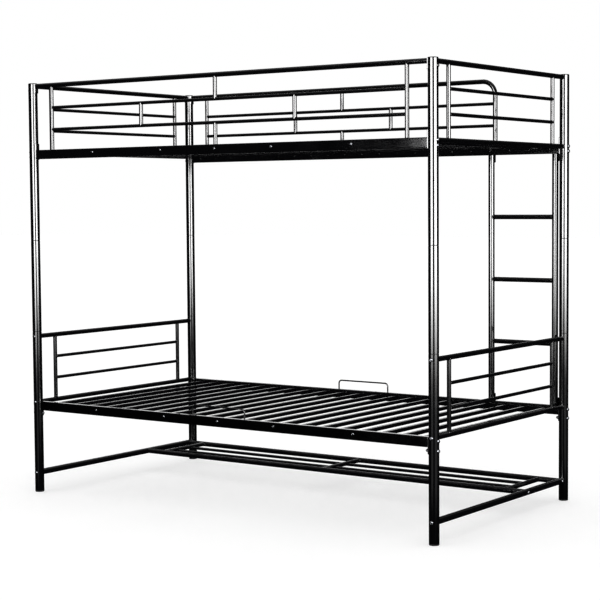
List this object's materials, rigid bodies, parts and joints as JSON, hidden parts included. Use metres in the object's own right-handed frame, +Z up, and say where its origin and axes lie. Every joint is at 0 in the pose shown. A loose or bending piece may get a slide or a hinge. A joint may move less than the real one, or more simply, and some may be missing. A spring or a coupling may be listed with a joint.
{
  "type": "bunk bed with ladder",
  "caption": "Black steel tube bunk bed with slatted decks, guard rails on the top bunk, a side ladder at one end and a shelf frame under the lower bunk.",
  "frame": {"origin": "on the floor at the middle of the bed's length and width", "axes": "+X along the bed towards the ladder end, +Y across the bed towards the ladder side, +Z up"},
  "size_m": [2.0062, 1.0832, 1.738],
  "materials": {
    "black_steel": "glossy black powder coat",
    "black_plastic": "moulded, matt",
    "zinc_steel": "bright zinc plate"
  },
  "bodies": {
    "bed_frame": {"lower_post_front_left": "black_steel", "lower_post_front_right": "black_steel", "lower_post_rear_left": "black_steel", "lower_post_rear_right": "black_steel", "middle_post_front_left": "black_steel", "middle_post_front_right": "black_steel", "middle_post_rear_left": "black_steel", "middle_post_rear_right": "black_steel", "upper_post_front_left": "black_steel", "upper_post_front_right": "black_steel", "upper_post_rear_left": "black_steel", "upper_post_rear_right": "black_steel", "foot_front_left": "black_plastic", "foot_front_right": "black_plastic", "foot_rear_left": "black_plastic", "foot_rear_right": "black_plastic", "post_cap_front_left": "black_plastic", "post_cap_front_right": "black_plastic", "post_cap_rear_left": "black_plastic", "post_cap_rear_right": "black_plastic", "lower_end_panel_left": "black_steel", "lower_end_panel_right": "black_steel", "upper_end_panel_left": "black_steel", "upper_end_panel_right": "black_steel", "lower_side_rail_front": "black_steel", "lower_side_rail_rear": "black_steel", "upper_side_rail_front": "black_steel", "upper_side_rail_rear": "black_steel", "lower_slat_deck": "black_steel", "upper_slat_deck": "black_steel", "front_guard_rail": "black_steel", "rear_guard_rail": "black_steel", "ladder": "black_steel", "bottom_cross_rail_left": "black_steel", "bottom_cross_rail_right": "black_steel", "under_bed_shelf": "black_steel", "lower_rail_bolt_front_left": "zinc_steel", "lower_rail_bolt_front_right": "zinc_steel", "lower_rail_bolt_rear_left": "zinc_steel", "lower_rail_bolt_rear_right": "zinc_steel", "lower_bracket_bolt_front_left": "zinc_steel", "lower_bracket_bolt_front_right": "zinc_steel", "lower_bracket_bolt_rear_left": "zinc_steel", "lower_bracket_bolt_rear_right": "zinc_steel", "upper_rail_bolt_high_front_left": "zinc_steel", "upper_rail_bolt_high_front_right": "zinc_steel", "upper_rail_bolt_high_rear_left": "zinc_steel", "upper_rail_bolt_high_rear_right": "zinc_steel", "upper_rail_bolt_low_front_left": "zinc_steel", "upper_rail_bolt_low_front_right": "zinc_steel", "upper_rail_bolt_low_rear_left": "zinc_steel", "upper_rail_bolt_low_rear_right": "zinc_steel", "bottom_rail_bolt_front_left": "zinc_steel", "bottom_rail_bolt_front_right": "zinc_steel", "bottom_rail_bolt_rear_left": "zinc_steel", "bottom_rail_bolt_rear_right": "zinc_steel"},
    "front_mattress_stop": {"mattress_stop_front": "black_steel"},
    "rear_mattress_stop": {"mattress_stop_rear": "black_steel"}
  },
  "joints": [
    {"name": "front_stop_lift", "type": "slide", "parent": "bed_frame", "child": "front_mattress_stop", "axis": [0, 0, 1], "range_m": [0, 0.03]},
    {"name": "rear_stop_lift", "type": "slide", "parent": "bed_frame", "child": "rear_mattress_stop", "axis": [0, 0, 1], "range_m": [0, 0.03]}
  ]
}
